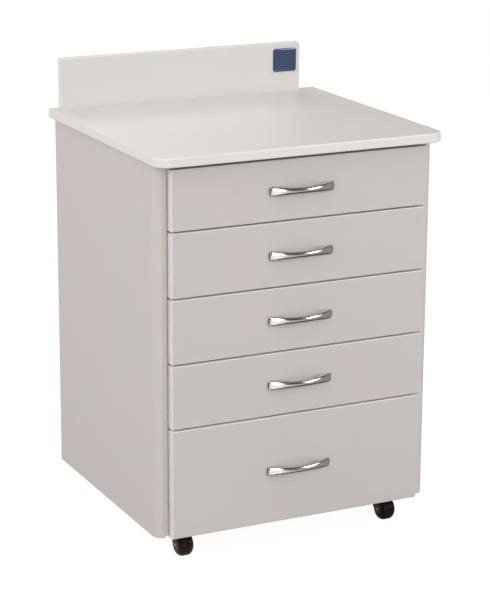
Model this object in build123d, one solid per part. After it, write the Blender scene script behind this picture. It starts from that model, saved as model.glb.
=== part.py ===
from build123d import *
import math
import os

# Mobile drawer cabinet for a dental room: five drawers on full-extension ball
# slides between two side panels with quarter-round front edges, a worktop with
# rounded front corners and an upstand, on four twin-wheel swivel casters.
#
# Units are millimetres. +Z is up, +X is the user's right, the drawer fronts
# face -Y. The origin is on the floor, under the centre of the whole object.

# ---------------------------------------------------------------- dimensions
board = 16.0            # laminated board thickness
front_t = 18.0          # drawer fronts are a size thicker
box_board = 12.0        # drawer box board thickness

body_w = 500.0          # over both side panels
body_d = 422.0          # side panel depth
panel_round = 15.9      # quarter-round on the outer front edge of a side panel
y_back = 219.0          # back edge of the side panels
y_panel_front = y_back - body_d
z_body = 48.0           # underside of the body: height of the casters
z_under_top = 665.5     # underside of the worktop

top_w = 513.0
top_back = 234.0        # the worktop passes the body at the back by 15 mm
top_front = -232.0
top_corner_r = 25.0
top_edge_r = 2.5
z_top = z_under_top + board

up_left = -237.5        # the upstand is set a little to the left
up_right = 219.5
up_height = 86.0
up_seat = 2.0           # depth of the seat cut for it in the worktop

back_t = 3.0            # back panel, set in a rebate
back_lap = 8.0

badge_w, badge_h, badge_t, badge_r = 45.4, 41.5, 1.8, 4.5
badge_x, badge_z = 189.2, 737.2

front_w = 454.0         # drawer front width: 7 mm reveal at each side
front_y = -216.0        # outer plane of the drawer fronts
front_gap = 3.0
front_edge_r = 1.6
#         bottom z above the body's underside, height
fronts = [(512.2, 98.8), (403.7, 105.5), (295.2, 105.5), (186.7, 105.5), (0.0, 183.7)]
# drawer box: bottom above the front's lower edge, height
boxes = [(12.0, 74.0), (12.0, 74.0), (12.0, 74.0), (12.0, 74.0), (22.0, 140.0)]
box_half = 213.0        # half the outer width of a drawer box
box_len = 400.0
base_t = 4.0

slide_len = 400.0
slide_y = -194.0        # front end of the slides, drawers shut
travel = 385.0

handle_len = 115.0
handle_end_h = 13.8
handle_mid_h = 8.6
handle_reach = 18.0
handle_gap = 12.6       # finger space behind the bow, at its middle
handle_cc = 96.0

caster_x = 190.0
caster_y_front, caster_y_rear = -157.0, 181.0   # swivel axes
caster_trail = 17.0
wheel_r = 20.0
wheel_in, wheel_out = 1.9, 14.8
axle_r = 3.0
hood_in, hood_out = 21.3, 23.5
hood_half = 9.5
web_r = 18.6            # disc between the two wheels
turret_r, turret_top = 10.5, 44.0
plate_side, plate_t = 38.0, 2.5

batten_t = 8.0          # packing battens between the side panels and the slides
batten_w = 46.0
batten_y = (-196.0, 150.0)      # front edges of the front and rear battens

half_in = body_w / 2 - board    # inner face of a side panel
slide_face = half_in - batten_t  # plane on which the slides are mounted


# ------------------------------------------------------------------- helpers
def block(x0, x1, y0, y1, z0, z1):
    return Pos((x0 + x1) / 2, (y0 + y1) / 2, (z0 + z1) / 2) * Box(x1 - x0, y1 - y0, z1 - z0)


def rod(p0, p1, r):
    """A cylinder from p0 to p1."""
    a, b = Vector(*p0), Vector(*p1)
    d = b - a
    return Plane(origin=a, z_dir=d) * Cylinder(r, d.length, align=(Align.CENTER, Align.CENTER, Align.MIN))


def turned(points):
    """A solid of revolution about Z from (radius, height) points."""
    face = make_face(Polyline(*[(r, 0, h) for r, h in points], close=True))
    return revolve(face, Axis.Z)


def aimed(shape, origin, direction):
    return Plane(origin=Vector(*origin), z_dir=Vector(*direction)) * shape


def wood_screw(length, shank=1.9, head=3.7):
    """Countersunk screw along +Z: its head's flat is at 0 and its point at length."""
    return turned([(0, 1.3), (1.5, 0), (head, 0), (head, 0.4), (shank, 2.4), (shank, length - 4), (0, length)])


def pan_screw(length, shank=1.75, head=3.4, height=1.8):
    """Pan head screw along +Z: the head is below 0, the shank above."""
    return turned([(0, 1.0 - height), (1.4, -height), (head - 0.6, -height), (head, 0.7 - height), (head, 0), (shank, 0), (shank, length - 3), (0, length)])


def save(name, *shapes):
    solids = []
    for s in shapes:
        solids += s.solids() if hasattr(s, "solids") else list(s)
    export_step(solids[0] if len(solids) == 1 else Compound(children=solids), f"parts/{name}.step")
    print(name, len(solids), round(sum(s.volume for s in solids)), all(s.is_valid for s in solids))


os.makedirs("parts", exist_ok=True)


# ------------------------------------------------------- carcass and worktop
# Cam fittings draw the bottom panel and the two top rails to the side panels:
# (y, z of the board's middle)
cam_r, cam_depth, cam_in = 7.4, 12.0, 34.0
cams = [(y, z_body + board / 2) for y in (-100.0, 120.0)]
cams += [(y, z_under_top - board / 2) for y in (-120.0, 120.0)]


def cam_bores(side):
    """What is cut out of a board for the cams and bolts on one side."""
    cut = None
    for y, z in cams:
        under = z - board / 2
        b = aimed(Cylinder(cam_r + 0.1, cam_depth + 0.5, align=(Align.CENTER, Align.CENTER, Align.MIN)), (side * (half_in - cam_in), y, under), (0, 0, 1))
        c = rod((side * (half_in + 10.2), y, z), (side * (half_in - cam_in), y, z), 3.6)
        cut = b + c if cut is None else cut + b + c
    return cut


def side_panel(side):
    x_out, x_in = side * body_w / 2, side * half_in
    r = panel_round
    lo, hi = min(x_out, x_in), max(x_out, x_in)
    p = block(lo, hi, y_panel_front, y_back, z_body, z_under_top)
    edge = [e for e in p.edges().filter_by(Axis.Z) if abs(e.center().X - x_out) < 0.01 and abs(e.center().Y - y_panel_front) < 0.01]
    p = fillet(edge, r)
    # rebate for the back panel
    rx = side * (half_in + back_lap)
    p -= block(min(rx, x_in), max(rx, x_in), y_back - back_t, y_back + 1, z_body - 1, z_under_top + 1)
    outer = [e for e in p.edges().filter_by(Axis.Z) if abs(e.center().X - x_out) < 0.01 and abs(e.center().Y - y_back) < 0.01]
    p = fillet(outer, 0.8)
    p -= cam_bores(side)
    return p


save("left_side_panel", side_panel(-1))
save("right_side_panel", side_panel(1))

y_in_front = front_y + front_t + 4.0      # front edges of the inner boards
y_in_back = y_back - back_t
fit = 0.05
battens = []
for side in (-1, 1):
    for y0 in batten_y:
        x0, x1 = side * half_in, side * slide_face
        battens.append(block(min(x0, x1), max(x0, x1), y0, y0 + batten_w, z_body, z_under_top))
save("slide_battens", *battens)
bottom = block(-half_in + fit, half_in - fit, y_in_front, y_in_back - fit, z_body, z_body + board)
bottom -= cam_bores(1)
bottom -= cam_bores(-1)
for side in (-1, 1):
    for y0 in batten_y:
        x0, x1 = side * (half_in + 1), side * (slide_face - fit)
        bottom -= block(min(x0, x1), max(x0, x1), y0 - 3, y0 + batten_w + fit, z_body - 1, z_body + board + 1)
save("bottom_panel", bottom)

rail_w = 60.0
rails = []
for y0 in (batten_y[0] + batten_w + fit, batten_y[1] - fit - rail_w):
    r_ = block(-half_in + fit, half_in - fit, y0, y0 + rail_w, z_under_top - board, z_under_top)
    r_ -= cam_bores(1)
    r_ -= cam_bores(-1)
    rails.append(r_)
save("top_rails", *rails)

back_half = half_in + back_lap - 0.4
save("back_panel", block(-back_half, back_half, y_back - back_t, y_back, z_body + 0.5, z_under_top - 0.5))

cam_parts = []
for side in (-1, 1):
    for y, z in cams:
        xc = side * (half_in - cam_in)
        under = z - board / 2
        cam = aimed(Cylinder(cam_r, cam_depth, align=(Align.CENTER, Align.CENTER, Align.MIN)), (xc, y, under + 0.2), (0, 0, 1))
        cam -= rod((xc - side * 4.5, y, z), (xc + side * 12, y, z), 3.7)
        cam -= block(xc - 4, xc + 4, y - 0.7, y + 0.7, under, under + 1.6)
        # bolt: threaded end in the side panel, shank, collar and head
        reach = cam_in + 10.0
        bolt = turned([(0, 0), (3.5, 0), (3.5, 10.0), (2.3, 11.0), (2.3, reach - 4.0), (3.5, reach - 2.5), (3.5, reach + 0.5), (2.4, reach + 2.0), (0, reach + 2.0)])
        cam_parts += [cam, aimed(bolt, (side * (half_in + 10.0), y, z), (-side, 0, 0))]

# worktop: front corners rounded in plan, every edge eased
top = block(-top_w / 2, top_w / 2, top_front, top_back, z_under_top, z_top)
corners = [e for e in top.edges().filter_by(Axis.Z)]
top = fillet([e for e in corners if e.center().Y < 0], top_corner_r)
top = fillet([e for e in top.edges().filter_by(Axis.Z) if abs(e.center().Y - top_back) < 0.01], 3.0)
top = fillet(list(top.faces().sort_by(Axis.Z)[-1].edges()) + list(top.faces().sort_by(Axis.Z)[0].edges()), top_edge_r)
# seat for the upstand, open at the back
seat_gap = 0.15
top -= block(up_left - seat_gap, up_right + seat_gap, top_back - board - seat_gap, top_back + 5, z_top - up_seat, z_top + 5)
save("worktop", top)

up = block(up_left, up_right, top_back - board, top_back, z_top - up_seat, z_top + up_height)
low = up.faces().sort_by(Axis.Z)[0]
up = fillet([e for e in up.edges() if e.center().Z > z_top - up_seat + 0.1], 1.6)
save("upstand", up)

badge = block(badge_x - badge_w / 2, badge_x + badge_w / 2, top_back - board - badge_t, top_back - board, badge_z - badge_h / 2, badge_z + badge_h / 2)
badge = fillet(badge.edges().filter_by(Axis.Y), badge_r)
badge = fillet(badge.faces().sort_by(Axis.Y)[0].edges(), 0.8)
save("badge_plate", badge)


# ------------------------------------------------------------- ball slides
# Section of the three members, x measured from the side panel inwards.
def profile_outer():
    return [(0, -22.5), (11.5, -22.5), (11.5, -18.6), (10.4, -18.6), (10.4, -21.3), (1.2, -21.3), (1.2, 21.3), (10.4, 21.3), (10.4, 18.6), (11.5, 18.6), (11.5, 22.5), (0, 22.5)]


def profile_mid():
    return [(2.6, -17.3), (11.0, -17.3), (11.0, -16.1), (3.8, -16.1), (3.8, 16.1), (11.0, 16.1), (11.0, 17.3), (2.6, 17.3)]


def profile_inner():
    return [(5.2, -12.0), (12.9, -12.0), (12.9, 12.0), (5.2, 12.0), (5.2, 10.8), (11.7, 10.8), (11.7, -10.8), (5.2, -10.8)]


def member(points, side, z, y0, y1):
    pts = [(side * (slide_face - x), y0, z + h) for x, h in points]
    face = make_face(Polyline(*pts, close=True))
    return extrude(face, amount=y1 - y0, dir=(0, 1, 0))


def slide_z(i):
    (fz, fh), (bz, bh) = fronts[i], boxes[i]
    return z_body + fz + bz + bh / 2 + 2


outer_members = []
for i in range(5):
    for side in (-1, 1):
        outer_members.append(member(profile_outer(), side, slide_z(i), slide_y, slide_y + slide_len))
save("cabinet_slides", *outer_members)

for i in range(5):
    save(f"mid_slides_{i + 1}", *[member(profile_mid(), side, slide_z(i), slide_y + 4, slide_y + slide_len - 6) for side in (-1, 1)])


# ------------------------------------------------------------------ drawers
def bow_handle(zc):
    """Bow handle: its side view (x, y) times its front view (x, z), edges rounded."""
    L, R = handle_len / 2, handle_reach
    # outer line of the side view, from the left end to the right end
    outer = [(-L, 5.0), (-L + 5.5, 6.9), (-L + 16, 10.9), (-L + 28, 14.5), (-L + 42, 17.1), (0, R), (L - 42, 17.1), (L - 28, 14.5), (L - 16, 10.9), (L - 5.5, 6.9), (L, 5.0)]
    G = handle_gap
    inner = [(-38.5, 0.0), (-34.0, 4.6), (-26.0, 8.7), (-14.0, 11.7), (0, G), (14.0, 11.7), (26.0, 8.7), (34.0, 4.6), (38.5, 0.0)]

    def at(p):
        return (p[0], front_y - p[1], 0)

    top_line = Spline(*[at(p) for p in outer])
    low_line = Spline(*[at(p) for p in inner])
    ends = [
        Line(at(outer[0]), at((-L, 0))),
        Line(at((-L, 0)), at(inner[0])),
        Line(at(inner[-1]), at((L, 0))),
        Line(at((L, 0)), at(outer[-1])),
    ]
    side = make_face(Wire([top_line.edge(), low_line.edge()] + [e.edge() for e in ends]))
    bar = extrude(side, amount=10, dir=(0, 0, 1), both=True)
    # front view: waisted
    e, m = handle_end_h / 2, handle_mid_h / 2

    def row(s):
        return [(-L, s * e), (-L + 14, s * (e - 0.55)), (-L + 30, s * (m + 0.45)), (0, s * m), (L - 30, s * (m + 0.45)), (L - 14, s * (e - 0.55)), (L, s * e)]

    up_line = Spline(*[(x, front_y + 5, z) for x, z in row(1)])
    dn_line = Spline(*[(x, front_y + 5, z) for x, z in row(-1)])
    a = Line((-L, front_y + 5, -e), (-L, front_y + 5, e))
    b = Line((L, front_y + 5, -e), (L, front_y + 5, e))
    view = make_face(Wire([up_line.edge(), dn_line.edge(), a.edge(), b.edge()]))
    cut = extrude(view, amount=40, dir=(0, -1, 0))
    h = bar & cut
    h = h.solid() if hasattr(h, "solid") else h
    # long front edges strongly rounded, the rest eased
    long_edges = [x for x in h.edges() if x.length > 90]
    outer_edges = [x for x in long_edges if min(v.Y for v in (x @ 0.5, x @ 0.4)) < front_y - R + 1.5]
    try:
        h = fillet(outer_edges, 2.2)
    except Exception as err:
        print("handle: outer fillet", err)
        h = fillet(outer_edges, 1.5)
    low_edges = [x for x in h.edges() if x.length > 60 and abs((x @ 0.5).Y - (front_y - G)) < 0.8]
    try:
        h = fillet(low_edges, 1.4)
    except Exception as err:
        print("handle: inner fillet", err)
    # ends
    end_edges = [x for x in h.edges() if abs((x @ 0.5).X) > L - 0.3 and (x @ 0.5).Y < front_y - 0.2]
    try:
        h = fillet(end_edges, 0.7)
    except Exception as err:
        print("handle: end fillet", err)
    h = Pos(0, 0, zc) * h
    for sx in (-1, 1):
        h -= rod((sx * handle_cc / 2, front_y + 1, zc), (sx * handle_cc / 2, front_y - 5.4, zc), 2.0)
    return h


handle0 = bow_handle(0.0)

for i, ((fz, fh), (bz, bh)) in enumerate(zip(fronts, boxes)):
    n = i + 1
    z0 = z_body + fz
    zc = z0 + fh / 2
    front_back = front_y + front_t
    # front, with clearance holes for the handle's screws
    f = block(-front_w / 2, front_w / 2, front_y, front_back, z0, z0 + fh)
    f = fillet(f.faces().sort_by(Axis.Y)[0].edges(), front_edge_r)
    f = fillet(f.faces().sort_by(Axis.Y)[-1].edges(), 0.5)
    holes = [rod((sx * handle_cc / 2, front_y - 1, zc), (sx * handle_cc / 2, front_back + box_board + 1, zc), 2.4) for sx in (-1, 1)]
    for hole in holes:
        f -= hole
    save(f"drawer_{n}_front", f)

    # box: two sides between which stand the inner front and the back
    bz0 = z0 + bz
    wall0 = bz0 + base_t
    wall1 = bz0 + bh
    y0, y1 = front_back + 0.05, front_back + box_len
    sides = [block(min(s * box_half, s * (box_half - box_board)), max(s * box_half, s * (box_half - box_board)), y0, y1, wall0, wall1) for s in (-1, 1)]
    w = box_half - box_board - 0.02
    inner_front = block(-w, w, y0, y0 + box_board, wall0, wall1)
    for hole in holes:
        inner_front -= hole
    box_back = block(-w, w, y1 - box_board, y1, wall0, wall1)
    save(f"drawer_{n}_box", *sides, inner_front, box_back)
    save(f"drawer_{n}_base", block(-box_half, box_half, y0, y1, bz0, bz0 + base_t))

    save(f"drawer_{n}_handle", Pos(0, 0, zc) * handle0)

    # screws: two through inner front and front into the handle, four that hold
    # the front on the box, and two in each slide member
    inside = y0 + box_board
    screws = [aimed(pan_screw(inside - (front_y - 5.2), shank=2.0, head=4.0, height=2.4), (sx * handle_cc / 2, inside + 0.02, zc), (0, -1, 0)) for sx in (-1, 1)]
    for sx in (-170.0, 170.0):
        for dz in (0.24, 0.76):
            screws.append(aimed(pan_screw(24.0), (sx, inside + 0.02, wall0 + (wall1 - wall0) * dz), (0, -1, 0)))
    for s in (-1, 1):
        for ys in (slide_y + 40, slide_y + slide_len - 60):
            screws.append(aimed(pan_screw(11.0, height=1.6), (s * (slide_face - 11.65), ys, slide_z(i)), (-s, 0, 0)))
    save(f"drawer_{n}_screws", *screws)
    runners = [member(profile_inner(), s, slide_z(i), slide_y, slide_y + slide_len) for s in (-1, 1)]
    save(f"drawer_{n}_slides", *runners)


# -------------------------------------------------- screws in the cabinet
cabinet_screws = []
for x in (-160.0, 160.0):
    for y in (-120.0, 120.0):
        cabinet_screws.append(aimed(wood_screw(27.5), (x, y, z_under_top - board - 0.02), (0, 0, 1)))
for x in (-180.0, -8.0, 164.0):
    cabinet_screws.append(aimed(wood_screw(40.0), (x, top_back - 6.0, z_under_top - 0.02), (0, 0, 1)))
for i in range(5):
    for side in (-1, 1):
        for ys in (batten_y[0] + 28.0, batten_y[1] + 24.0):
            cabinet_screws.append(aimed(pan_screw(13.0, height=1.1), (side * (slide_face - 1.25), ys, slide_z(i)), (side, 0, 0)))
for z in (z_body + 8.0, z_under_top - 8.0):
    for x in (-150.0, 0.0, 150.0):
        cabinet_screws.append(aimed(pan_screw(14.0, height=1.2), (x, y_back + 0.02, z), (0, -1, 0)))
save("cabinet_fasteners", *cabinet_screws, *cam_parts)


# ------------------------------------------------------------------ casters
def wheel_section():
    """Half section of a domed wheel: (radius, distance out from the caster's middle)."""
    a, b = 10.4, 11.0               # the dome's half axes: outwards and in radius
    c_r, c_x = 9.0, 3.4
    out = [(wheel_r, wheel_in), (wheel_r, c_x)]
    for k in range(1, 9):
        t = math.radians(90 * k / 9)
        out.append((c_r + b * math.cos(t), c_x + a * math.sin(t)))
    w = wheel_out
    out += [(9.0, w - 1.0), (8.4, w - 1.3), (8.0, w - 1.8), (7.2, w - 1.8), (6.8, w - 0.9), (5.6, w - 0.3), (4.2, w), (axle_r + 0.06, w)]
    hub = [(axle_r + 0.06, 6.6), (6.0, 6.6), (6.0, 10.2), (7.4, 11.2)]
    ins = []
    for k in range(7, -1, -1):
        t = math.radians(90 * k / 9)
        ins.append((8.2 + 8.6 * math.cos(t), c_x + 7.8 * math.sin(t)))
    ins.append((16.8, wheel_in))
    return out + hub + ins


def wheel(side, x, y):
    pts = wheel_section()
    w = turned(pts)
    rim = [e for e in w.edges() if abs(e.length - 2 * math.pi * wheel_r) < 0.01 and abs(e.center().Z - wheel_in) < 0.01]
    w = fillet(rim, 0.8) if rim else w
    return aimed(w, (x, y, wheel_r), (side, 0, 0))


def around_axle(r, x0, x1, x, y):
    return rod((x + x0, y, wheel_r), (x + x1, y, wheel_r), r)


def housing(x, y_swivel):
    ya = y_swivel - caster_trail
    # hood: over the top and the rear of the wheels
    ring = around_axle(hood_out, -hood_half, hood_half, x, ya) - around_axle(hood_in, -hood_half - 1, hood_half + 1, x, ya)
    cutters = []
    a0, a1 = math.radians(62), math.radians(192)      # from the front over the top
    # wedge kept between the two angles, built as a polygon seen along X
    pts = [(0.0, 0.0)]
    for k in range(0, 11):
        t = a0 + (a1 - a0) * k / 10
        pts.append((-40 * math.cos(t), 40 * math.sin(t)))
    wedge_face = make_face(Polyline(*[(x - 30, ya + p[0], wheel_r + p[1]) for p in pts], close=True))
    wedge = extrude(wedge_face, amount=60, dir=(1, 0, 0))
    hood = ring & wedge
    hood_rim = [e for e in hood.edges() if e.length > 40 and e.geom_type == GeomType.CIRCLE and abs(e.radius - hood_out) < 0.01]
    try:
        hood = fillet(hood_rim, 1.0)
    except Exception as err:
        print("hood rim", err)
    # web between the wheels and the bosses that hold the axle
    web = (around_axle(hood_out - 0.6, -1.3, 1.3, x, ya) & wedge) + around_axle(web_r, -1.3, 1.3, x, ya)
    boss = around_axle(7.4, -6.2, 6.2, x, ya)
    # turret round the swivel pin, cut clear of the wheels
    turret = rod((x, y_swivel, 27.0), (x, y_swivel, turret_top), turret_r)
    turret -= around_axle(hood_in, -25, 25, x, ya)
    turret -= block(x - 20, x + 20, y_swivel + turret_r - 4.5, y_swivel + 30, 20, 32.5)
    h = hood + web + boss + turret
    h -= rod((x, y_swivel, 30.0), (x, y_swivel, turret_top + 1), 3.56)
    h -= rod((x, y_swivel, 30.0), (x, y_swivel, 39.7), 5.3)
    h -= around_axle(axle_r, -20, 20, x, ya)
    return h


def axle(x, y_swivel):
    return around_axle(axle_r, 0.4 - wheel_out, wheel_out - 0.4, x, y_swivel - caster_trail)


def plate(x, y):
    p = block(x - plate_side / 2, x + plate_side / 2, y - plate_side / 2, y + plate_side / 2, z_body - plate_t, z_body)
    p = fillet(p.edges().filter_by(Axis.Z), 4.0)
    p += rod((x, y, z_body - plate_t), (x, y, turret_top + 0.3), 9.0)
    p += rod((x, y, z_body - plate_t), (x, y, 38.2), 3.5)
    p += rod((x, y, 39.5), (x, y, 38.2), 5.0)
    for sx in (-1, 1):
        for sy in (-1, 1):
            p -= rod((x + sx * 14.0, y + sy * 14.0, z_body - plate_t - 1), (x + sx * 14.0, y + sy * 14.0, z_body + 1), 2.1)
    return p


places = {"fl": (-caster_x, caster_y_front), "fr": (caster_x, caster_y_front), "rl": (-caster_x, caster_y_rear), "rr": (caster_x, caster_y_rear)}
plates, plate_screws = [], []
for name, (x, y) in places.items():
    save(f"caster_{name}_housing", housing(x, y), axle(x, y))
    for side, tag in ((-1, "l"), (1, "r")):
        save(f"caster_{name}_wheel_{tag}", wheel(side, x, y - caster_trail))
    plates.append(plate(x, y))
    for sx in (-1, 1):
        for sy in (-1, 1):
            plate_screws.append(aimed(pan_screw(13.0, shank=1.9, head=3.3, height=1.7), (x + sx * 14.0, y + sy * 14.0, z_body - plate_t - 0.02), (0, 0, 1)))
save("caster_plates", *plates)
save("caster_screws", *plate_screws)
print("box", top_w, top_back - (front_y - handle_reach), z_top + up_height)
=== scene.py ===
import math

import bmesh
import bpy
from mathutils import Matrix, Vector


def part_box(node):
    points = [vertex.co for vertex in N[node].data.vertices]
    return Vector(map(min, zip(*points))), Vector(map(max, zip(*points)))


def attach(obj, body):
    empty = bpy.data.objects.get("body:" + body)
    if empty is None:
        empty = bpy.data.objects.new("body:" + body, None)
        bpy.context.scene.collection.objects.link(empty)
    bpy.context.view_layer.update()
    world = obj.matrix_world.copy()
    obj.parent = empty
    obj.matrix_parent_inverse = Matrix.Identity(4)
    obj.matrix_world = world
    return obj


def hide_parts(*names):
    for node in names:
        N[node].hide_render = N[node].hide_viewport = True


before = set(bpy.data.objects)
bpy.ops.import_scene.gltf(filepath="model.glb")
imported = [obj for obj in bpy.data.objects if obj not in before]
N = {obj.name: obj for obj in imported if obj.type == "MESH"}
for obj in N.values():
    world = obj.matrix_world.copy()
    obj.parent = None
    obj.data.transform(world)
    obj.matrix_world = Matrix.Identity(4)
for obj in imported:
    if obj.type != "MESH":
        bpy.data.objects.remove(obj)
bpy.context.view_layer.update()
scene = bpy.context.scene
MM = 0.001


# ------------------------------------------------------------------- camera
cam_data = bpy.data.cameras.new("camera")
cam_data.lens = 130.9026
cam_data.sensor_width = 36.0
cam_data.clip_start = 0.05
cam_data.clip_end = 200.0
cam = bpy.data.objects.new("camera", cam_data)
scene.collection.objects.link(cam)
right = Vector((0.89855311, -0.43883437, 0.00516741))
down = Vector((-0.11381837, -0.24439273, -0.96297330))
forward = Vector((0.42384865, 0.86469450, -0.26954726))
rot = Matrix((right, -down, -forward)).transposed()
cam.matrix_world = Matrix.Translation((-1.548412, -3.172097, 1.366070)) @ rot.to_4x4()
scene.camera = cam


# ---------------------------------------------------------------- materials
class Nodes:
    """A short way to write a node tree."""

    def __init__(self, material):
        material.use_nodes = True
        self.tree = material.node_tree
        self.tree.nodes.clear()
        self.out = self.add("ShaderNodeOutputMaterial")

    def add(self, kind, **values):
        n = self.tree.nodes.new(kind)
        for k, v in values.items():
            if k in n.inputs:
                n.inputs[k].default_value = v
            else:
                setattr(n, k, v)
        return n

    def link(self, a, b):
        self.tree.links.new(a, b)

    def position(self):
        return self.add("ShaderNodeTexCoord").outputs["Object"]

    def scaled(self, vector, scale):
        m = self.add("ShaderNodeMapping")
        m.inputs["Scale"].default_value = scale
        self.link(vector, m.inputs["Vector"])
        return m.outputs["Vector"]

    def noise(self, vector, scale, detail=2.0, rough=0.5):
        n = self.add("ShaderNodeTexNoise")
        n.inputs["Scale"].default_value = scale
        n.inputs["Detail"].default_value = detail
        n.inputs["Roughness"].default_value = rough
        self.link(vector, n.inputs["Vector"])
        return n.outputs["Fac"]

    def ramp(self, fac, stops):
        r = self.add("ShaderNodeValToRGB")
        e = r.color_ramp.elements
        e[0].position, e[0].color = stops[0][0], (*stops[0][1], 1)
        e[1].position, e[1].color = stops[-1][0], (*stops[-1][1], 1)
        for p, c in stops[1:-1]:
            x = e.new(p)
            x.color = (*c, 1)
        self.link(fac, r.inputs["Fac"])
        return r.outputs["Color"]

    def math(self, op, a, b=None, clamp=False):
        m = self.add("ShaderNodeMath", operation=op, use_clamp=clamp)
        for i, v in enumerate((a, b)):
            if v is None:
                continue
            if isinstance(v, (int, float)):
                m.inputs[i].default_value = v
            else:
                self.link(v, m.inputs[i])
        return m.outputs[0]

    def mix(self, fac, a, b, kind="MIX"):
        m = self.add("ShaderNodeMix", data_type="RGBA", blend_type=kind)
        if isinstance(fac, (int, float)):
            m.inputs[0].default_value = fac
        else:
            self.link(fac, m.inputs[0])
        for i, v in ((6, a), (7, b)):
            if isinstance(v, tuple):
                m.inputs[i].default_value = (*v, 1)
            else:
                self.link(v, m.inputs[i])
        return m.outputs[2]

    def bump(self, height, strength, distance):
        b = self.add("ShaderNodeBump")
        b.inputs["Strength"].default_value = strength
        b.inputs["Distance"].default_value = distance
        self.link(height, b.inputs["Height"])
        return b.outputs["Normal"]


def lin(*rgb):
    """sRGB 0-255 to linear."""
    return tuple(((v / 255 + 0.055) / 1.055) ** 2.4 if v / 255 > 0.04045 else v / 255 / 12.92 for v in rgb)


def laminate(name, colour, other, rough=0.42, fine=0.03, bump=0.05, coat=0.0):
    """Melamine laminate: two close tones drifting into each other, a fine
    speckle and the faint pebble of the press plate."""
    m = bpy.data.materials.new(name)
    t = Nodes(m)
    p = t.position()
    drift = t.noise(p, 7.0, 3.0, 0.55)
    tone = t.ramp(drift, [(0.38, colour), (0.62, other)])
    speck = t.noise(p, 900.0, 2.0, 0.6)
    light = tuple(min(1.0, c * (1 + fine)) for c in (1, 1, 1))
    dark = tuple(c * (1 - fine) for c in (1, 1, 1))
    tone = t.mix(1.0, tone, t.ramp(speck, [(0.35, dark), (0.65, light)]), "MULTIPLY")
    b = t.add("ShaderNodeBsdfPrincipled")
    t.link(tone, b.inputs["Base Color"])
    r = t.noise(p, 60.0, 3.0, 0.6)
    t.link(t.math("ADD", t.math("MULTIPLY", r, 0.10), rough - 0.05), b.inputs["Roughness"])
    b.inputs["Specular IOR Level"].default_value = 0.45
    pebble = t.noise(p, 1400.0, 2.0, 0.5)
    t.link(t.bump(pebble, bump, 0.0004), b.inputs["Normal"])
    if coat:
        b.inputs["Coat Weight"].default_value = coat
        b.inputs["Coat Roughness"].default_value = 0.25
    t.link(b.outputs[0], t.out.inputs["Surface"])
    return m


def board_core_painted_light(name):
    """Pressed-fibre board with fine fibres and darker flecks; its tones are raised from brown to near white as
    painted light, so the battens in the shaded groove read light.
    """
    m = bpy.data.materials.new(name)
    t = Nodes(m)
    p = t.position()
    fibre = t.noise(t.scaled(p, (220.0, 220.0, 60.0)), 6.0, 4.0, 0.65)
    tone = t.ramp(fibre, [(0.3, lin(232, 220, 209)), (0.55, lin(241, 231, 222)), (0.8, lin(246, 238, 230))])
    b = t.add("ShaderNodeBsdfPrincipled")
    t.link(tone, b.inputs["Base Color"])
    b.inputs["Roughness"].default_value = 0.75
    t.link(t.bump(fibre, 0.25, 0.0005), b.inputs["Normal"])
    t.link(b.outputs[0], t.out.inputs["Surface"])
    return m


def metal(name, colour, rough, scratch=0.0, stretch=(1.0, 1.0, 1.0), bump=0.0):
    m = bpy.data.materials.new(name)
    t = Nodes(m)
    p = t.scaled(t.position(), stretch)
    n = t.noise(p, 500.0, 4.0, 0.6)
    tone = t.ramp(n, [(0.25, tuple(c * 0.94 for c in colour)), (0.75, tuple(min(1.0, c * 1.04) for c in colour))])
    b = t.add("ShaderNodeBsdfPrincipled")
    b.inputs["Metallic"].default_value = 1.0
    t.link(tone, b.inputs["Base Color"])
    t.link(t.math("ADD", t.math("MULTIPLY", n, scratch), rough), b.inputs["Roughness"])
    if bump:
        t.link(t.bump(n, bump, 0.0002), b.inputs["Normal"])
    t.link(b.outputs[0], t.out.inputs["Surface"])
    return m


def plastic(name, colour, other, rough, bump=0.1, scale=700.0, gloss=0.5, tint=(1.0, 1.0, 1.0)):
    """Moulded plastic: fine spark-eroded grain, a few lighter scuffs."""
    m = bpy.data.materials.new(name)
    t = Nodes(m)
    p = t.position()
    scuff = t.noise(p, 90.0, 5.0, 0.7)
    tone = t.ramp(scuff, [(0.45, colour), (0.75, other)])
    b = t.add("ShaderNodeBsdfPrincipled")
    t.link(tone, b.inputs["Base Color"])
    t.link(t.math("ADD", t.math("MULTIPLY", scuff, 0.2), rough - 0.1), b.inputs["Roughness"])
    b.inputs["Specular IOR Level"].default_value = gloss
    b.inputs["Specular Tint"].default_value = (*tint, 1)
    g = t.noise(p, scale, 2.0, 0.6)
    t.link(t.bump(g, bump, 0.0003), b.inputs["Normal"])
    t.link(b.outputs[0], t.out.inputs["Surface"])
    return m


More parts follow.
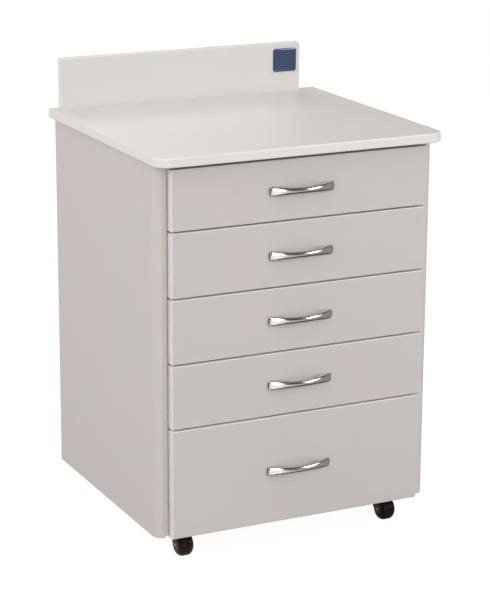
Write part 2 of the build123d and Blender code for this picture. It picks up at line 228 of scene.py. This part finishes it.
M = {
    "body": laminate("body_laminate", (0.628, 0.566, 0.543), (0.616, 0.569, 0.542)),
    "front": laminate("front_laminate", (0.612, 0.560, 0.546), (0.597, 0.570, 0.546), rough=0.38),
    "top": laminate("top_laminate", (0.672, 0.644, 0.619), (0.664, 0.642, 0.616), rough=0.40),
    "upface": laminate("upstand_laminate", (0.666, 0.640, 0.620), (0.658, 0.638, 0.618), rough=0.42),
    # Edge bands: lighter than the faces, partly their own tone and partly a painted highlight for the light the
    # rounded edges catch.
    "rim": laminate("top_edge_band_and_highlight", (0.772, 0.742, 0.724), (0.762, 0.738, 0.718), rough=0.34, fine=0.012, bump=0.03),
    "band_and_highlight": laminate("front_edge_band_and_highlight", (0.800, 0.758, 0.738), (0.790, 0.754, 0.732), rough=0.34, fine=0.012, bump=0.03),
    # Painted shade: a backing sheet coloured dark so the gap line under the worktop reads dark.
    "backer_and_shade": laminate("backing_sheet_and_shade", (0.34, 0.29, 0.26), (0.31, 0.265, 0.24), rough=0.6),
    "box": laminate("box_board", (0.74, 0.73, 0.71), (0.72, 0.71, 0.69), rough=0.5),
    "back": laminate("back_board", (0.55, 0.53, 0.51), (0.53, 0.51, 0.49), rough=0.6, bump=0.12),
    "core_painted_light": board_core_painted_light("fibreboard_painted_light"),
    "slide": metal("slide_steel", (0.62, 0.63, 0.65), 0.30, 0.15, (1, 0.05, 1), 0.05),
    "screw": metal("zinc_screw", (0.60, 0.60, 0.60), 0.28, 0.2),
    "chrome": metal("polished_nickel", (0.80, 0.785, 0.765), 0.11, 0.10, (0.06, 1, 1), 0.02),
    # Painted shade: a dark nickel standing in for the shadow and dark reflection along the handle's lower edge, back
    # and ends.
    "chrome_painted_shade": metal("nickel_painted_shade", (0.125, 0.107, 0.095), 0.34, 0.15, (0.06, 1, 1), 0.04),
    "caster": plastic("caster_nylon", (0.030, 0.0245, 0.0225), (0.045, 0.037, 0.034), 0.48, gloss=0.25, tint=(1.0, 0.86, 0.78)),
    "wheel": plastic("wheel_nylon", (0.0112, 0.0076, 0.0064), (0.019, 0.0140, 0.0122), 0.36, 0.06, gloss=0.17, tint=(1.0, 0.82, 0.72)),
    "hub": plastic("hub_grey", (0.42, 0.385, 0.375), (0.50, 0.465, 0.455), 0.34, 0.05),
    "ring": plastic("hub_ring", (0.150, 0.132, 0.125), (0.190, 0.168, 0.160), 0.36, 0.05),
}


def badge_material():
    """Domed resin over a plain navy ground, faintly mottled."""
    m = bpy.data.materials.new("badge_resin")
    t = Nodes(m)
    p = t.position()
    n = t.noise(p, 120.0, 2.0, 0.5)
    tone = t.ramp(n, [(0.3, (0.012, 0.040, 0.105)), (0.7, (0.018, 0.055, 0.135))])
    b = t.add("ShaderNodeBsdfPrincipled")
    t.link(tone, b.inputs["Base Color"])
    b.inputs["Roughness"].default_value = 0.18
    b.inputs["Coat Weight"].default_value = 1.0
    b.inputs["Coat Roughness"].default_value = 0.04
    t.link(t.bump(n, 0.03, 0.0005), b.inputs["Normal"])
    t.link(b.outputs[0], t.out.inputs["Surface"])
    return m


M["badge"] = badge_material()


def dress(obj, material):
    obj.data.materials.clear()
    obj.data.materials.append(material)


def shade(obj, degrees=30.0):
    """Smooth faces, sharp where two meet at more than this angle."""
    me = obj.data
    me.polygons.foreach_set("use_smooth", [True] * len(me.polygons))
    me.update()
    bm = bmesh.new()
    bm.from_mesh(me)
    limit = math.radians(degrees)
    for e in bm.edges:
        e.smooth = len(e.link_faces) == 2 and e.calc_face_angle(math.pi) < limit
    bm.to_mesh(me)
    bm.free()


for name, o in N.items():
    if name.endswith("_front"):
        dress(o, M["front"])
    elif name.endswith("_handle"):
        dress(o, M["chrome"])
    elif name.endswith("_box") or name.endswith("_base"):
        dress(o, M["box"])
    elif name.endswith("_screws") or name == "cabinet_fasteners":
        dress(o, M["screw"])
    elif "slides" in name:
        dress(o, M["slide"])
    # Painted light: the battens in the shaded groove get the near-white board core.
    elif name == "slide_battens":
        dress(o, M["core_painted_light"])
    elif name == "caster_plates":
        dress(o, M["slide"])
    elif "_wheel_" in name:
        dress(o, M["wheel"])
    elif name.endswith("_housing"):
        dress(o, M["caster"])
    elif name == "worktop":
        dress(o, M["top"])
    elif name == "upstand":
        dress(o, M["upface"])
    elif name == "badge_plate":
        dress(o, M["badge"])
    elif name == "back_panel":
        dress(o, M["back"])
    else:
        dress(o, M["body"])


def band_and_highlight(obj, material, test):
    """Gives the faces that pass the test, the banded edges, their own lighter material: partly the band's own tone,
    partly a painted highlight for the light the rounded edges catch.
    """
    obj.data.materials.append(material)
    for f in obj.data.polygons:
        if test(f.normal):
            f.material_index = 1


for name, o in N.items():
    if name.endswith("_front"):
        band_and_highlight(o, M["band_and_highlight"], lambda n: abs(n.y) < 0.93)
    elif name == "worktop":
        band_and_highlight(o, M["rim"], lambda n: abs(n.z) < 0.80)
        # Painted shade: the worktop's underside gets the dark backing sheet, which darkens the gap line under the
        # top.
        o.data.materials.append(M["backer_and_shade"])
        for f in o.data.polygons:
            if f.normal.z < -0.97 and f.center.z < 0.67:
                f.material_index = 2
    elif name == "upstand":
        band_and_highlight(o, M["rim"], lambda n: abs(n.y) < 0.80)


# ------------------------------------------------------------- mesh helpers
def add_mesh(name, verts, faces, material, body, smooth=35.0):
    me = bpy.data.meshes.new(name)
    me.from_pydata([tuple(v) for v in verts], [], faces)
    me.validate()
    o = bpy.data.objects.new(name, me)
    scene.collection.objects.link(o)
    bm = bmesh.new()
    bm.from_mesh(me)
    bmesh.ops.remove_doubles(bm, verts=bm.verts, dist=1e-7)
    bmesh.ops.recalc_face_normals(bm, faces=bm.faces)
    bm.to_mesh(me)
    bm.free()
    me.materials.append(material)
    if smooth:
        shade(o, smooth)
    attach(o, body)
    return o


def spline(points, x):
    """Smooth interpolation through (x, y) points: Catmull-Rom on uneven knots."""
    xs = [p[0] for p in points]
    ys = [p[1] for p in points]
    n = len(xs)
    m = []
    for i in range(n):
        if i == 0:
            m.append((ys[1] - ys[0]) / (xs[1] - xs[0]))
        elif i == n - 1:
            m.append((ys[-1] - ys[-2]) / (xs[-1] - xs[-2]))
        else:
            a = (ys[i] - ys[i - 1]) / (xs[i] - xs[i - 1])
            b = (ys[i + 1] - ys[i]) / (xs[i + 1] - xs[i])
            m.append(0.0 if a * b < 0 else (a + b) / 2)
    x = min(max(x, xs[0]), xs[-1])
    for i in range(n - 1):
        if x <= xs[i + 1]:
            h = xs[i + 1] - xs[i]
            t = (x - xs[i]) / h
            return ((2 * t**3 - 3 * t**2 + 1) * ys[i] + (t**3 - 2 * t**2 + t) * h * m[i]
                    + (-2 * t**3 + 3 * t**2) * ys[i + 1] + (t**3 - t**2) * h * m[i + 1])
    return ys[-1]


def loft(rings, close_ends=True):
    """Verts and faces through rings of equal length; the ends are fanned."""
    verts, faces = [], []
    k = len(rings[0])
    for r in rings:
        verts += r
    for i in range(len(rings) - 1):
        for j in range(k):
            a, b = i * k + j, i * k + (j + 1) % k
            faces.append((a, b, b + k, a + k))
    if close_ends:
        faces.append(tuple(range(k - 1, -1, -1)))
        faces.append(tuple((len(rings) - 1) * k + j for j in range(k)))
    return verts, faces


# ------------------------------------------------------------------ handles
# Side view: how far the outer and inner lines stand off the drawer front.
# Front view: half the bar's height along its length.
HANDLE_HALF = 57.0
OUTER = [(-57.0, 3.4), (-56.7, 4.2), (-56.0, 5.0), (-54.5, 5.9), (-49.0, 8.1), (-41.0, 11.1), (-29.0, 14.5), (-15.0, 17.1), (0.0, 18.0), (15.0, 17.1), (29.0, 14.5), (41.0, 11.1), (49.0, 8.1), (54.5, 5.9), (56.0, 5.0), (56.7, 4.2), (57.0, 3.4)]
INNER = [(-57.5, 0.0), (-39.0, 0.0), (-36.0, 2.6), (-31.0, 6.4), (-22.0, 10.0), (-10.0, 12.2), (0.0, 12.6), (10.0, 12.2), (22.0, 10.0), (31.0, 6.4), (36.0, 2.6), (39.0, 0.0), (57.5, 0.0)]
HALF_H = [(-57.0, 5.9), (-56.6, 6.6), (-55.8, 7.15), (-54.5, 7.4), (-50.0, 7.15), (-40.0, 6.3), (-28.0, 5.3), (-12.0, 4.7), (0.0, 4.6), (12.0, 4.7), (28.0, 5.3), (40.0, 6.3), (50.0, 7.15), (54.5, 7.4), (55.8, 7.15), (56.6, 6.6), (57.0, 5.9)]


def handle_ring(x, y_front, zc, shrink=0.0):
    """One cross-section, in the Y-Z plane: a crowned face, rounded long edges."""
    yo = spline(OUTER, x) - shrink * 0.6
    yi = max(0.02, spline(INNER, x))
    h = spline(HALF_H, x) - shrink
    r = min(1.5, (yo - yi) * 0.42)
    crown = min(1.5, (yo - yi) * 0.35)
    pts = []
    # crowned face from the lower edge to the upper one, going outwards first
    steps = 14
    for k in range(steps + 1):
        s = -1 + 2 * k / steps
        z = s * (h - r * 0.55)
        y = yo - crown * s * s
        pts.append((y, z))
    # round the upper edge down to the back
    cy, cz = yo - crown - r, h - r
    for k in range(1, 7):
        a = math.radians(60 - 60 * k / 6)
        pts.append((cy + r * math.sin(a) * 0.9, h - r + r * math.cos(a)))
    back = max(yi + 0.25, min(cy, yi + 0.8))
    pts.append((back, h))
    pts.append((yi, h - 0.35))
    pts.append((yi, 0.0))
    pts.append((yi, -h + 0.35))
    pts.append((back, -h))
    for k in range(6, 0, -1):
        a = math.radians(60 - 60 * k / 6)
        pts.append((cy + r * math.sin(a) * 0.9, -(h - r + r * math.cos(a))))
    return [Vector((x * MM, (y_front - y) * MM, (zc + z) * MM)) for y, z in pts]


def build_handle(i):
    lo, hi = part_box(f"drawer_{i}_handle")
    flo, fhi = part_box(f"drawer_{i}_front")
    y_front = flo.y / MM
    zc = (lo.z + hi.z) / 2 / MM
    xs = []
    n = 72
    for k in range(n + 1):
        t = -1 + 2 * k / n
        xs.append((HANDLE_HALF - 0.2) * math.sin(t * math.pi / 2 * 0.72) / math.sin(math.pi / 2 * 0.72))
    rings = [handle_ring(-HANDLE_HALF, y_front, zc, 0.5), handle_ring(-HANDLE_HALF + 0.15, y_front, zc, 0.2)]
    rings += [handle_ring(x, y_front, zc) for x in xs]
    rings += [handle_ring(HANDLE_HALF - 0.15, y_front, zc, 0.2), handle_ring(HANDLE_HALF, y_front, zc, 0.5)]
    verts, faces = loft(rings)
    o = add_mesh(f"bow_handle_{i}", verts, faces, M["chrome"], f"drawer_{i}", 40.0)
    # Painted shade: the faces turned down, back or to the ends take the dark nickel, which stands in for the bar's
    # shadow and dark reflection.
    o.data.materials.append(M["chrome_painted_shade"])
    for f in o.data.polygons:
        if f.normal.z < -0.35 or f.normal.y > 0.5 or f.normal.x > 0.50 or f.normal.x < -0.90:
            f.material_index = 1
    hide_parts(f"drawer_{i}_handle")
    return o


for i in range(1, 6):
    build_handle(i)


# ------------------------------------------------------------------ casters
def lathe(profile, centre, direction, segments=72, close=True):
    """Turns (radius, along) points about an axis along X through centre."""
    verts, faces = [], []
    k = len(profile)
    for s in range(segments):
        a = 2 * math.pi * s / segments
        for r, d in profile:
            verts.append(Vector(((centre[0] + direction * d) * MM, (centre[1] + r * math.cos(a)) * MM, (centre[2] + r * math.sin(a)) * MM)))
    for s in range(segments):
        for j in range(k if close else k - 1):
            a, b = s * k + j, s * k + (j + 1) % k
            c, d = ((s + 1) % segments) * k + (j + 1) % k, ((s + 1) % segments) * k + j
            faces.append((a, b, c, d))
    return verts, faces


def wheel_profile():
    out = [(19.85, 1.9), (19.98, 2.05), (20.0, 2.4), (20.0, 3.4)]
    for k in range(1, 15):
        t = math.radians(90 * k / 15)
        out.append((9.0 + 11.0 * math.cos(t), 3.4 + 10.4 * math.sin(t)))
    out += [(9.0, 13.8), (8.2, 13.85), (7.7, 13.6), (7.3, 13.2), (4.6, 13.1), (4.0, 13.2), (3.7, 13.9), (3.5, 14.3), (3.1, 14.3)]
    ins = [(3.1, 6.6), (6.0, 6.6), (6.0, 10.2), (7.4, 11.2)]
    for k in range(9, -1, -1):
        t = math.radians(78 * k / 9)
        ins.append((8.2 + 8.6 * math.cos(t), 3.4 + 7.8 * math.sin(t)))
    return out + ins + [(16.8, 1.9)]


def hub_profile():
    """The end of the axle: a shallow dome with an eased rim."""
    return [(0.02, 14.8), (1.2, 14.77), (2.2, 14.66), (2.8, 14.45), (3.05, 14.2), (3.05, 13.4), (0.02, 13.4)]


def ring_profile():
    """The raised ring round it."""
    return [(5.2, 13.12), (5.35, 13.9), (5.7, 14.3), (6.2, 14.4), (6.7, 14.25), (7.0, 13.8), (7.1, 13.2)]


for tag in ("fl", "fr", "rl", "rr"):
    for side, w in ((-1, "l"), (1, "r")):
        node = f"caster_{tag}_wheel_{w}"
        lo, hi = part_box(node)
        cx = ((lo.x if side > 0 else hi.x) / MM) - side * 1.9
        centre = (cx, (lo.y + hi.y) / 2 / MM, (lo.z + hi.z) / 2 / MM)
        v, f = lathe(wheel_profile(), centre, side)
        o = add_mesh(f"wheel_{tag}_{w}", v, f, M["wheel"], node, 28.0)
        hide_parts(node)
        v, f = lathe(hub_profile(), centre, side, 48, close=False)
        add_mesh(f"hub_cap_{tag}_{w}", v, f, M["hub"], node, 35.0)
        v, f = lathe(ring_profile(), centre, side, 60)
        add_mesh(f"hub_ring_{tag}_{w}", v, f, M["ring"], node, 35.0)
    # thread guard: the rim of the housing's web, between the two wheels
    guard = [(17.6, -1.3), (18.2, -1.55), (19.3, -1.55), (19.6, -1.3), (19.6, 1.3), (19.3, 1.55), (18.2, 1.55), (17.6, 1.3)]
    lo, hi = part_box(f"caster_{tag}_housing")
    v, f = lathe(guard, ((lo.x + hi.x) / 2 / MM, centre[1], centre[2]), 1, 96)
    add_mesh(f"thread_guard_{tag}", v, f, M["wheel"], f"caster_{tag}", 35.0)


# -------------------------------------------------------------------- badge
def rounded_square(w, h, r, n=8):
    pts = []
    for cx, cz, a0 in ((w / 2 - r, h / 2 - r, 0), (-w / 2 + r, h / 2 - r, 90), (-w / 2 + r, -h / 2 + r, 180), (w / 2 - r, -h / 2 + r, 270)):
        for k in range(n + 1):
            a = math.radians(a0 + 90 * k / n)
            pts.append((cx + r * math.cos(a), cz + r * math.sin(a)))
    return pts


def build_badge():
    lo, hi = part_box("badge_plate")
    w, h = (hi.x - lo.x) / MM, (hi.z - lo.z) / MM
    cx, cz = (hi.x + lo.x) / 2 / MM, (hi.z + lo.z) / 2 / MM
    y_wall, y_face = hi.y / MM, lo.y / MM
    t = y_wall - y_face
    rings = []
    for inset, out in ((0.0, 0.05), (0.0, 0.7 * t), (0.35, 0.86 * t), (1.0, 0.90 * t), (1.25, 0.72 * t), (1.7, 0.80 * t), (2.6, 0.90 * t), (5.0, 0.955 * t), (9.0, 0.985 * t), (14.0, t), (19.0, t)):
        ring = rounded_square(w - 2 * inset, h - 2 * inset, max(0.4, 4.5 - inset * 0.8))
        rings.append([Vector(((cx + x) * MM, (y_wall - out) * MM, (cz + z) * MM)) for x, z in ring])
    verts, faces = loft(rings)
    o = add_mesh("badge_dome", verts, faces, M["badge"], "cabinet", 30.0)
    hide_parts("badge_plate")


build_badge()

for name, o in N.items():
    if not o.hide_render:
        shade(o, 28.0)


# ------------------------------------------------------------ floor & light
def plane(name, size, z):
    me = bpy.data.meshes.new(name)
    s = size / 2
    me.from_pydata([(-s, -s, z), (s, -s, z), (s, s, z), (-s, s, z)], [], [(0, 1, 2, 3)])
    o = bpy.data.objects.new(name, me)
    scene.collection.objects.link(o)
    return o


floor = plane("floor", 60.0, -0.0002)
fm = bpy.data.materials.new("floor_white")
t = Nodes(fm)
b = t.add("ShaderNodeBsdfDiffuse")
b.inputs["Color"].default_value = (0.42, 0.42, 0.42, 1)
thin = t.add("ShaderNodeBsdfDiffuse")
thin.inputs["Color"].default_value = (0.10, 0.10, 0.10, 1)
e = t.add("ShaderNodeEmission")
e.inputs["Color"].default_value = (1.0, 1.0, 1.0, 1)
e.inputs["Strength"].default_value = 0.955
s = t.add("ShaderNodeAddShader")
t.link(thin.outputs[0], s.inputs[0])
t.link(e.outputs[0], s.inputs[1])
ray = t.add("ShaderNodeLightPath")
sweep = t.add("ShaderNodeEmission")
sweep.inputs["Strength"].default_value = 1.0
geo = t.add("ShaderNodeNewGeometry")
axes = t.add("ShaderNodeSeparateXYZ")
t.link(geo.outputs["Position"], axes.inputs[0])
ahead = t.math("MAXIMUM", t.math("SUBTRACT", t.math("MULTIPLY", axes.outputs["Y"], -1.0), 0.2), 0.05)
side_ratio = t.math("DIVIDE", axes.outputs["X"], ahead)
spread = t.math("MULTIPLY", t.math("ADD", side_ratio, 1.0), 0.25, clamp=True)
t.link(t.ramp(spread, [(0.0, (0.80, 0.76, 0.72)), (0.19, (1.12, 1.08, 1.03)), (0.265, (0.56, 0.515, 0.475)), (0.375, (0.50, 0.46, 0.425)), (0.50, (0.42, 0.39, 0.36)), (0.80, (0.30, 0.272, 0.25))]), sweep.inputs["Color"])
other = t.add("ShaderNodeMixShader")
t.link(ray.outputs["Is Glossy Ray"], other.inputs[0])
pick = t.add("ShaderNodeMixShader")
t.link(ray.outputs["Is Camera Ray"], pick.inputs[0])
t.link(b.outputs[0], other.inputs[1])
t.link(sweep.outputs[0], other.inputs[2])
t.link(other.outputs[0], pick.inputs[1])
t.link(s.outputs[0], pick.inputs[2])
t.link(pick.outputs[0], t.out.inputs["Surface"])
floor.data.materials.append(fm)


def softbox(name, at, aim, size, power, colour=(1, 1, 1)):
    d = bpy.data.lights.new(name, "AREA")
    d.shape = "RECTANGLE"
    d.size, d.size_y = size
    d.energy = power
    d.color = colour
    o = bpy.data.objects.new(name, d)
    scene.collection.objects.link(o)
    o.location = at
    direction = Vector(aim) - Vector(at)
    o.rotation_euler = direction.to_track_quat("-Z", "Y").to_euler()
    o.visible_camera = False
    return o


softbox("tall_front", (-1.05, -4.30, 1.45), (0, -0.2, 0.5), (1.3, 2.0), 51.0)
softbox("fill_right", (2.25, -2.65, 1.75), (0, -0.2, 0.45), (1.0, 1.3), 39.0)
softbox("overhead", (0.0, -0.5, 3.2), (0, 0, 0.5), (2.4, 2.4), 18.0).visible_glossy = False
softbox("side_left", (-2.6, -0.2, 1.6), (-0.2, 0.0, 0.5), (1.2, 1.2), 29.0)
softbox("rim_back", (0.5, 2.4, 2.4), (0, 0, 0.6), (1.6, 1.2), 16.0)
softbox("back_fill", (-0.5, 3.4, 1.3), (0, 0.2, 0.4), (1.8, 1.8), 22.0).visible_glossy = False

world = bpy.data.worlds.new("studio")
scene.world = world
world.use_nodes = True
wt = world.node_tree
wt.nodes.clear()
wo = wt.nodes.new("ShaderNodeOutputWorld")
bg = wt.nodes.new("ShaderNodeBackground")
bg2 = wt.nodes.new("ShaderNodeBackground")
mixer = wt.nodes.new("ShaderNodeMixShader")
room_mixer = wt.nodes.new("ShaderNodeMixShader")
room = wt.nodes.new("ShaderNodeBackground")
path = wt.nodes.new("ShaderNodeLightPath")
coord = wt.nodes.new("ShaderNodeTexCoord")
split = wt.nodes.new("ShaderNodeSeparateXYZ")
wt.links.new(coord.outputs["Generated"], split.inputs[0])
rampn = wt.nodes.new("ShaderNodeValToRGB")
mr = wt.nodes.new("ShaderNodeMapRange")
mr.inputs["From Min"].default_value = -1.0
mr.inputs["From Max"].default_value = 1.0
wt.links.new(split.outputs["Z"], mr.inputs["Value"])
wt.links.new(mr.outputs[0], rampn.inputs["Fac"])
el = rampn.color_ramp.elements
el[0].position, el[0].color = 0.0, (0.9, 0.9, 0.9, 1)
el[1].position, el[1].color = 1.0, (0.95, 0.95, 0.95, 1)
for p_, v_ in ((0.49, 0.75), (0.60, 0.80), (0.75, 0.9)):
    x_ = el.new(p_)
    x_.color = (v_, v_, v_, 1)
wt.links.new(rampn.outputs[0], bg.inputs["Color"])
bg.inputs["Strength"].default_value = 0.575
bg2.inputs["Color"].default_value = (1, 1, 1, 1)
bg2.inputs["Strength"].default_value = 1.0
wt.links.new(path.outputs["Is Camera Ray"], mixer.inputs[0])
wt.links.new(path.outputs["Is Glossy Ray"], room_mixer.inputs[0])
room_ramp = wt.nodes.new("ShaderNodeValToRGB")
wt.links.new(mr.outputs[0], room_ramp.inputs["Fac"])
el = room_ramp.color_ramp.elements
el[0].position, el[0].color = 0.0, (0.40, 0.38, 0.36, 1)
el[1].position, el[1].color = 1.0, (0.30, 0.28, 0.265, 1)
for p_, c_ in ((0.495, (0.30, 0.27, 0.25)), (0.53, (0.050, 0.036, 0.028)), (0.76, (0.075, 0.057, 0.047)), (0.92, (0.11, 0.095, 0.085))):
    x_ = el.new(p_)
    x_.color = (*c_, 1)
right_side = wt.nodes.new("ShaderNodeMapRange")
right_side.inputs["From Min"].default_value = 0.80
right_side.inputs["From Max"].default_value = 0.93
wt.links.new(split.outputs["X"], right_side.inputs["Value"])
room_mix = wt.nodes.new("ShaderNodeMix")
room_mix.data_type = "RGBA"
wt.links.new(right_side.outputs[0], room_mix.inputs[0])
wt.links.new(room_ramp.outputs[0], room_mix.inputs[6])
room_mix.inputs[7].default_value = (0.33, 0.295, 0.27, 1)
wt.links.new(room_mix.outputs[2], room.inputs["Color"])
wt.links.new(bg.outputs[0], room_mixer.inputs[1])
wt.links.new(room.outputs[0], room_mixer.inputs[2])
wt.links.new(room_mixer.outputs[0], mixer.inputs[1])
wt.links.new(bg2.outputs[0], mixer.inputs[2])
wt.links.new(mixer.outputs[0], wo.inputs[0])

scene.view_settings.view_transform = "Standard"
scene.view_settings.look = "None"
scene.view_settings.exposure = 0.0
scene.view_settings.gamma = 1.0
